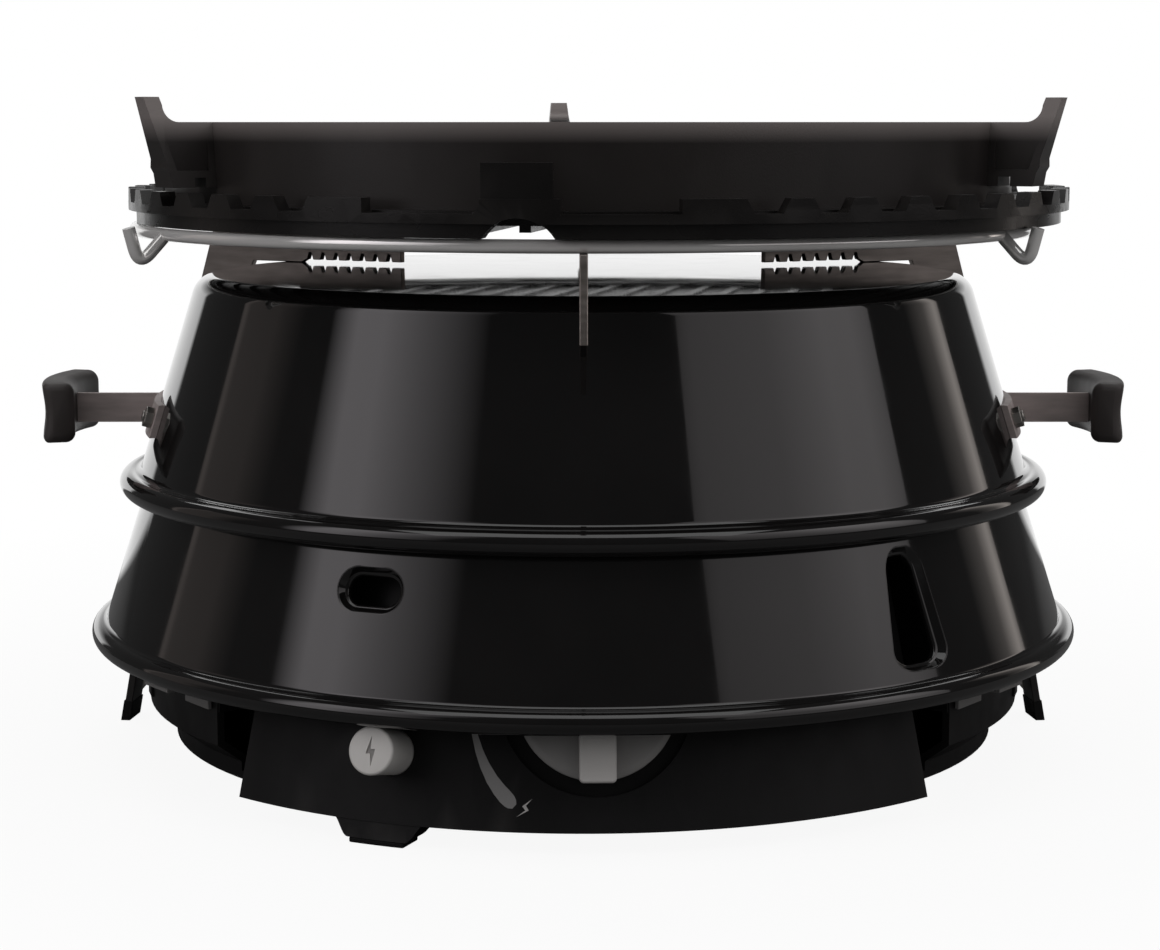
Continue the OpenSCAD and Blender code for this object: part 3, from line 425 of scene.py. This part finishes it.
def true_wall_normals(mesh, cone):
    """Shades the cut wall as the plain cone that it is."""
    mesh.set_sharp_from_angle(angle=math.radians(35))
    lean = math.radians(cone["lean"])
    normals = [Vector(n.vector) for n in mesh.corner_normals]
    for poly in mesh.polygons:
        for loop in poly.loop_indices:
            p = mesh.vertices[mesh.loops[loop].vertex_index].co
            flat = Vector((p.x, p.y, 0)).normalized()
            out = flat * math.cos(lean) + Vector((0, 0, math.sin(lean)))
            facing = out.dot(poly.normal)
            if abs(facing) > 0.985 and poly.area > 0:
                normals[loop] = out if facing > 0 else -out
    mesh.normals_split_custom_set(normals)


def opening_frame(opening):
    return wall_frame(opening["az"], cone_r(BOWL, opening["z"]), opening["z"], BOWL["lean"])


def opening_outline(opening, grow):
    """An opening's outline drawn out by grow; a taper makes it wider at its foot than at its top."""
    outline = round_box(opening["w"] + 2 * grow, opening["h"] + 2 * grow, opening["corner"] + grow)
    return [(y * (1 - opening["taper"] * 2 * z / opening["h"]), z) for y, z in outline]


def opening_lip(name, opening):
    """The sheet pressed in round an opening: a sloping flange that ends in a rounded lip."""
    place = opening_frame(opening)
    bend_r = cone_r(BOWL, opening["z"]) / math.cos(math.radians(BOWL["lean"]))
    section = [(FLANGE, 0.03), (FLANGE - 0.3, -0.05), (FLANGE - 0.6, -0.3), (1.3, -FLANGE_DEPTH + 0.3)]
    section += arc(1.2, -FLANGE_DEPTH - 1, 1.2, 90, 180, 6)
    section += [(0, -LIP_DEPTH), (SHEET, -LIP_DEPTH), (SHEET, -FLANGE_DEPTH - SHEET), (FLANGE + 0.4, -SHEET)]
    bm = bmesh.new()
    rings = []
    for grow, x in section:
        ring = opening_outline(opening, grow)
        row = [place @ Vector(((x - y * y / (2 * bend_r)) * MM, y * MM, z * MM)) for y, z in ring]
        rings.append([bm.verts.new(p) for p in row])
    bridge(bm, rings, True)
    add_object(name, to_mesh(bm, name, 60), "bowl_body", "bowl_enamel")


def make_bowls():
    bm = lathe(pressed_outline(**WOK), 256)
    add_object("wok_form", to_mesh(bm, "wok_form"), "wok_body", "wok_enamel", stands_for=("wok",))
    bowl = add_object("fire_bowl_form", to_mesh(lathe(pressed_outline(**BOWL), 256), "fire_bowl_form"),
                      "bowl_body", "bowl_enamel", stands_for=("fire_bowl",))
    carve(bowl, [cutter_of(opening_outline(opening, FLANGE - 0.25), -12, 12, opening_frame(opening))
                 for opening in (PORT, SLOT)])
    true_wall_normals(bowl.data, BOWL)
    opening_lip("lighting_port_lip", PORT)
    opening_lip("finger_slot_lip", SLOT)


# Trivet

def make_trivet():
    ring = lathe(arc(RING_R, RING_Z, WIRE, 0, 360, 24)[:-1], 192)
    add_object("trivet_ring", to_mesh(ring, "trivet_ring"), "trivet_body", "wire_chrome",
               stands_for=("trivet_wire",))
    for i, az in enumerate(HOOK_AZS):
        name = "trivet_hook_%d" % (i + 1)
        path = soft_bend(*[point(az, r, z) for r, z in HOOK], HOOK_BEND)
        hook = add_object(name, to_mesh(tube(path, WIRE, 20), name), "trivet_body", "wire_chrome")
        bevel(hook, 0.4, 2, 50)


# Handles

def grip_section(inset):
    """The grip's rounded and waisted section, drawn in all round by an inset."""
    low = GRIP["mid_z"] - GRIP["height"] / 2
    high = low + GRIP["height"]
    out, inn = GRIP["bow"], GRIP["bow"] - GRIP["thick"]
    edge, top, foot = GRIP["edge"], GRIP["top_round"], GRIP["low_round"]
    outline = arc(out - edge, high - edge, edge, 0, 90, 6) + arc(inn + top, high - top, top, 90, 180, 8)
    outline += arc(inn + foot, low + foot, foot, 180, 270, 8) + arc(out - edge, low + edge, edge, 270, 360, 6)
    for i in range(1, 10):
        t = i / 10
        outline.append((out - math.sin(math.pi * t) ** 1.5, low + edge + (GRIP["height"] - 2 * edge) * t))
    mid_x, mid_z = (out + inn) / 2, (low + high) / 2
    grow_x = 1 - 2 * inset / GRIP["thick"]
    grow_z = 1 - 2 * inset / GRIP["height"]
    return [(mid_x + (x - mid_x) * grow_x, mid_z + (z - mid_z) * grow_z) for x, z in outline]


def make_grip(name, side):
    """A bowed grip with rounded ends, on the left (-1) or right (1) of the wok."""
    round_r = GRIP["end_round"]
    bow_at = GRIP["out"] - GRIP["bow"]
    ends = [round_r * (1 - math.cos(math.radians(90 * i / 7))) for i in range(8)]
    places = [(-GRIP["half"] + d, round_r - math.sqrt(round_r ** 2 - (round_r - d) ** 2)) for d in ends]
    middle = [(-GRIP["half"] + round_r + (2 * GRIP["half"] - 2 * round_r) * i / 16, 0) for i in range(1, 16)]
    stations = places + middle + [(-s, inset) for s, inset in reversed(places)]
    bm = bmesh.new()
    rings = []
    for s, inset in stations:
        a = math.asin(s / GRIP["bow"])
        ring = [Vector((side * (bow_at + x * math.cos(a)) * MM, x * math.sin(a) * MM, z * MM))
                for x, z in grip_section(min(inset, GRIP["end_inset"]))]
        rings.append([bm.verts.new(p) for p in ring])
    bridge(bm, rings, False)
    bm.faces.new(rings[0])
    bm.faces.new(rings[-1])
    add_object(name + "_form", to_mesh(bm, name + "_form", 50), "wok_body", "grip_plastic", stands_for=(name,))


# Controls

PANEL_BOLT = [(2.6, 3.1), (-0.75, 0.55), (0.35, -0.8), (-2.6, -3.1), (1.5, -0.8), (0.5, 0.75)]
BUTTON_BOLT = [(0.15, 5.3), (-1.7, -1.1), (-0.1, -0.85), (0.6, -5.3), (1.75, 0.75), (0.1, 0.6)]


def make_knob():
    place = panel_frame(KNOB["az"], KNOB["z"])
    r, half, face = KNOB["r"], KNOB["bar_half"], KNOB["bar_face"]
    bore, back = KNOB["bore"], KNOB["back"]
    outline = [(bore, back), (r - 0.6, back)] + arc(r - 0.8, 3.6, 0.8, 0, 60, 4)
    outline += arc(r - 2.4, 3.2, 1.8, 60, 100, 4) + [(r - 8, 4.2), (bore, 3.7)]
    add_object("knob_disc", to_mesh(lathe(outline, 128, place), "knob_disc"), "gas_knob", "knob_grey",
               stands_for=("knob",))
    flat = round_box(2 * half, 2 * r + 1, 1.6, 6)
    bar = to_mesh(prism(flat, KNOB["bar_foot"], face, place), "knob_bar")
    bevel(add_object("knob_bar", bar, "gas_knob", "knob_grey", KNOB_LIGHT), 0.9, 4, 50)
    notch = [(-0.7, r - 12), (0.7, r - 12), (0.7, r - 1.5), (-0.7, r - 1.5)]
    mark = to_mesh(prism(notch, face - 0.3, face + 0.12, place), "knob_pointer")
    bevel(add_object("knob_pointer", mark, "gas_knob", "knob_grey", MARK_GREY), 0.15)


def make_button():
    place = panel_frame(BUTTON["az"], BUTTON["z"])
    r, face_r, out, back = BUTTON["r"], BUTTON["face_r"], BUTTON["out"], BUTTON["back"]
    outline = [(0, back), (r, back), (r, 7)] + arc(face_r - 1, out - 1, 1, 0, 84, 8) + [(0, out)]
    button = add_object("igniter_button_form", to_mesh(lathe(outline, 96, place), "igniter_button_form"),
                        "piezo_button", "button_white", stands_for=("igniter_button",))
    carve(button, [cutter_of(BUTTON_BOLT, out - 0.6, out + 1, place)])
    button.data.set_sharp_from_angle(angle=math.radians(30))
    mark = to_mesh(prism(BUTTON_BOLT, out - 0.9, out - 0.45, place), "igniter_mark")
    bevel(add_object("igniter_mark", mark, "piezo_button", "button_white", MARK_GREY), 0.1)


def panel_point(az, z, lift):
    a = math.radians(PANEL["lean"])
    return point(az, panel_r(z) + lift * math.cos(a), z + lift * math.sin(a))


def strip_on_panel(name, line, lift=0.1):
    """A printed strip on the panel along (azimuth, height, half width) places."""
    bm = bmesh.new()
    rows = []
    for i, (az, z, half) in enumerate(line):
        near, far = line[max(i - 1, 0)], line[min(i + 1, len(line) - 1)]
        dx = math.radians(far[0] - near[0]) * panel_r(z)
        dz = far[1] - near[1]
        size = math.hypot(dx, dz)
        side_az = math.degrees(-dz / size * half / panel_r(z))
        side_z = dx / size * half
        corners = [(az + side_az, z + side_z, lift), (az - side_az, z - side_z, lift),
                   (az - side_az, z - side_z, -0.3), (az + side_az, z + side_z, -0.3)]
        rows.append([bm.verts.new(panel_point(*c)) for c in corners])
    bridge(bm, rows, False)
    bm.faces.new(rows[0])
    bm.faces.new(rows[-1])
    add_object(name, to_mesh(bm, name, 30), "base", "panel_black", PRINT_GREY)


def make_panel_marks():
    places = [(-12.7, 44, 0.7), (-12.3, 39.1, 1.0), (-11.7, 34, 1.35), (-11.0, 29.5, 1.7), (-10.1, 25, 2.05),
              (-9.2, 21.6, 2.35), (-8.5, 19.4, 2.5), (-8.05, 18.1, 2.35), (-7.75, 17.2, 1.9), (-7.5, 16.5, 1.0)]
    strip_on_panel("panel_wedge", places)
    mark = to_mesh(prism(PANEL_BOLT, -0.3, 0.1, panel_frame(-6.4, 16.1)), "panel_lightning")
    add_object("panel_lightning", mark, "base", "panel_black", PRINT_PALE)


# Stage, light and camera

def wedge_behind(tree, split):
    """1 inside a wedge straight behind the stack, a little wider to the left, and 0 elsewhere."""
    depth = node_of(tree, "ShaderNodeMath", operation="MAXIMUM")
    tree.links.new(split.outputs["Y"], depth.inputs[0])
    depth.inputs[1].default_value = 0.01
    slope = node_of(tree, "ShaderNodeMath", operation="DIVIDE")
    tree.links.new(split.outputs["X"], slope.inputs[0])
    tree.links.new(depth.outputs["Value"], slope.inputs[1])
    left = remap(tree, slope.outputs["Value"], *WEDGE_LEFT, 0.0, 1.0)
    right = remap(tree, slope.outputs["Value"], *WEDGE_RIGHT, 1.0, 0.0)
    return product(tree, left, right)


def make_floor():
    """A floor that is white to the camera, keeps a soft shadow and is white to gloss only behind."""
    mesh = bpy.data.meshes.new("floor")
    bm = bmesh.new()
    bmesh.ops.create_circle(bm, cap_ends=True, segments=96, radius=FLOOR_R)
    bm.to_mesh(mesh)
    bm.free()
    floor = bpy.data.objects.new("floor", mesh)
    SCENE.collection.objects.link(floor)
    mat = bpy.data.materials.new("floor_white")
    mat.use_nodes = True
    tree = mat.node_tree
    tree.nodes.clear()
    out = node_of(tree, "ShaderNodeOutputMaterial")
    path = node_of(tree, "ShaderNodeLightPath")
    tone = node_of(tree, "ShaderNodeMix", data_type="RGBA")
    tone.inputs["A"].default_value = FLOOR_DARK
    tone.inputs["B"].default_value = FLOOR_PALE
    tree.links.new(path.outputs["Is Camera Ray"], tone.inputs["Factor"])
    paint = node_of(tree, "ShaderNodeBsdfDiffuse")
    tree.links.new(tone.outputs["Result"], paint.inputs["Color"])
    glow = node_of(tree, "ShaderNodeEmission")
    glow.inputs["Color"].default_value = WHITE
    place = node_of(tree, "ShaderNodeTexCoord").outputs["Object"]
    reach = node_of(tree, "ShaderNodeVectorMath", operation="LENGTH")
    tree.links.new(place, reach.inputs[0])
    split = node_of(tree, "ShaderNodeSeparateXYZ")
    tree.links.new(place, split.inputs["Vector"])
    near = remap(tree, reach.outputs["Value"], 0.25, 0.6, 0.92, 1.0)
    far = product(tree, remap(tree, split.outputs["Y"], 0.3, 0.5, 0.0, 1.0), wedge_behind(tree, split))
    seen = node_of(tree, "ShaderNodeMath", operation="MAXIMUM")
    tree.links.new(product(tree, path.outputs["Is Camera Ray"], near), seen.inputs[0])
    tree.links.new(product(tree, path.outputs["Is Glossy Ray"], far), seen.inputs[1])
    mix = node_of(tree, "ShaderNodeMixShader")
    tree.links.new(seen.outputs["Value"], mix.inputs["Fac"])
    tree.links.new(paint.outputs["BSDF"], mix.inputs[1])
    tree.links.new(glow.outputs["Emission"], mix.inputs[2])
    tree.links.new(mix.outputs["Shader"], out.inputs["Surface"])
    mesh.materials.append(mat)


def make_world():
    """White to the camera, and to gloss a white sweep behind a darker room."""
    world = bpy.data.worlds.new("studio")
    SCENE.world = world
    world.use_nodes = True
    tree = world.node_tree
    back = tree.nodes["Background"]
    path = node_of(tree, "ShaderNodeLightPath")
    split = node_of(tree, "ShaderNodeSeparateXYZ")
    tree.links.new(node_of(tree, "ShaderNodeTexCoord").outputs["Generated"], split.inputs["Vector"])
    low = product(tree, remap(tree, split.outputs["Y"], 0.3, 0.5, 0.0, 1.0),
                  remap(tree, split.outputs["Z"], 0.12, 0.25, 1.0, 0.0))
    sweep = remap(tree, product(tree, low, wedge_behind(tree, split)), 0.0, 1.0, ROOM_GLOSS, 1.0)
    gloss = node_of(tree, "ShaderNodeMath", operation="MAXIMUM")
    tree.links.new(path.outputs["Is Glossy Ray"], gloss.inputs[0])
    tree.links.new(path.outputs["Is Transmission Ray"], gloss.inputs[1])
    room = node_of(tree, "ShaderNodeMix", data_type="FLOAT")
    room.inputs["A"].default_value = ROOM_LIGHT
    tree.links.new(gloss.outputs["Value"], room.inputs["Factor"])
    tree.links.new(sweep, room.inputs["B"])
    level = node_of(tree, "ShaderNodeMath", operation="MAXIMUM")
    tree.links.new(room.outputs["Result"], level.inputs[0])
    tree.links.new(path.outputs["Is Camera Ray"], level.inputs[1])
    tree.links.new(level.outputs["Value"], back.inputs["Strength"])
    back.inputs["Color"].default_value = WHITE


def softbox(name, az, elevation, distance, width, height, level, colour=(1, 1, 1),
            fade=((0, 1), (1, 1)), top=1.0):
    """A soft light aimed at the stack; fade and top give its brightness across it and at its top."""
    lamp = bpy.data.lights.new(name, "AREA")
    lamp.shape = "RECTANGLE"
    lamp.size = width
    lamp.size_y = height
    lamp.energy = level * math.pi * width * height
    lamp.color = colour
    lamp.use_nodes = True
    tree = lamp.node_tree
    split = node_of(tree, "ShaderNodeSeparateXYZ")
    tree.links.new(node_of(tree, "ShaderNodeNewGeometry").outputs["Parametric"], split.inputs["Vector"])
    ramp = node_of(tree, "ShaderNodeValToRGB")
    while len(ramp.color_ramp.elements) < len(fade):
        ramp.color_ramp.elements.new(0.5)
    for stop, (place, share) in zip(ramp.color_ramp.elements, fade):
        stop.position = place
        stop.color = (share, share, share, 1)
    tree.links.new(split.outputs["X"], ramp.inputs["Fac"])
    tree.links.new(ramp.outputs["Color"], tree.nodes["Emission"].inputs["Color"])
    tree.links.new(remap(tree, split.outputs["Y"], 0, 1, top, 1), tree.nodes["Emission"].inputs["Strength"])
    obj = bpy.data.objects.new(name, lamp)
    a, e = math.radians(az), math.radians(elevation)
    reach = Vector((math.cos(e) * math.sin(a), -math.cos(e) * math.cos(a), math.sin(e)))
    obj.location = AIM + reach * distance
    obj.rotation_euler = (-reach).to_track_quat("-Z", "Y").to_euler()
    obj.visible_camera = False
    SCENE.collection.objects.link(obj)


def make_camera():
    lens = bpy.data.cameras.new("camera")
    lens.lens = CAMERA["lens"]
    lens.sensor_width = CAMERA["sensor"]
    lens.sensor_fit = "HORIZONTAL"
    lens.clip_start = 0.01
    camera = bpy.data.objects.new("camera", lens)
    camera.location = CAMERA["place"]
    camera.rotation_euler = (math.radians(90 - CAMERA["down"]), 0, 0)
    SCENE.collection.objects.link(camera)
    SCENE.camera = camera


make_camera()
make_floor()
make_world()
softbox("softbox_left", -51.5, 26, 1.7, 1.34, 1.4, 1.5, (1, 0.95, 0.98),
        ((0, 0), (0.2, 1), (0.38, 1), (0.62, 0.57), (0.9, 0.15), (1, 0)), 0.75)
softbox("softbox_right", 58.5, 26, 1.7, 1.76, 1.4, 1.5, (1, 0.95, 0.96),
        ((0, 0.3), (0.06, 0.42), (0.4, 0.6), (0.68, 1), (0.85, 0.95), (1, 0.6)), 0.35)
softbox("strip_left", -98, 14, 1.6, 0.72, 1.0, 0.28, (1, 0.86, 0.8),
        ((0, 0.6), (0.05, 1), (0.13, 0.45), (0.6, 0.5), (1, 0)))
softbox("strip_right", 111, 14, 1.6, 0.46, 1.0, 1.1, (1, 0.91, 0.85),
        ((0, 0), (0.5, 0.25), (0.85, 1), (1, 0.5)))
softbox("softbox_top", 0, 70, 1.8, 2.0, 1.1, 1.2)
softbox("softbox_back", 180, 52, 1.9, 2.4, 1.2, 1.4)

make_bowls()
make_trivet()
make_grip("grip_left", -1)
make_grip("grip_right", 1)
make_knob()
make_button()
make_panel_marks()
dressed("pan", 1.0, 3)
dressed("griddle", 0.8, 3, material=GRIDDLE_BLACK)
dressed("rim_rests", 0.3, material=REST_GREY)
dressed("control_panel", 0.7, 3)
SOFT_EDGED = ("base_tray", "base_housing", "leg_tip_left", "leg_tip_right", "leg_tip_rear", "front_foot")
for node in SOFT_EDGED:
    dressed(node, 0.6)
MADE = {"wok", "fire_bowl", "trivet_wire", "grip_left", "grip_right", "knob", "igniter_button",
        "pan", "griddle", "rim_rests", "control_panel", *SOFT_EDGED}
for node in sorted(set(NODES) - MADE):
    dressed(node, 0.3)

SCENE.view_settings.view_transform = "Standard"
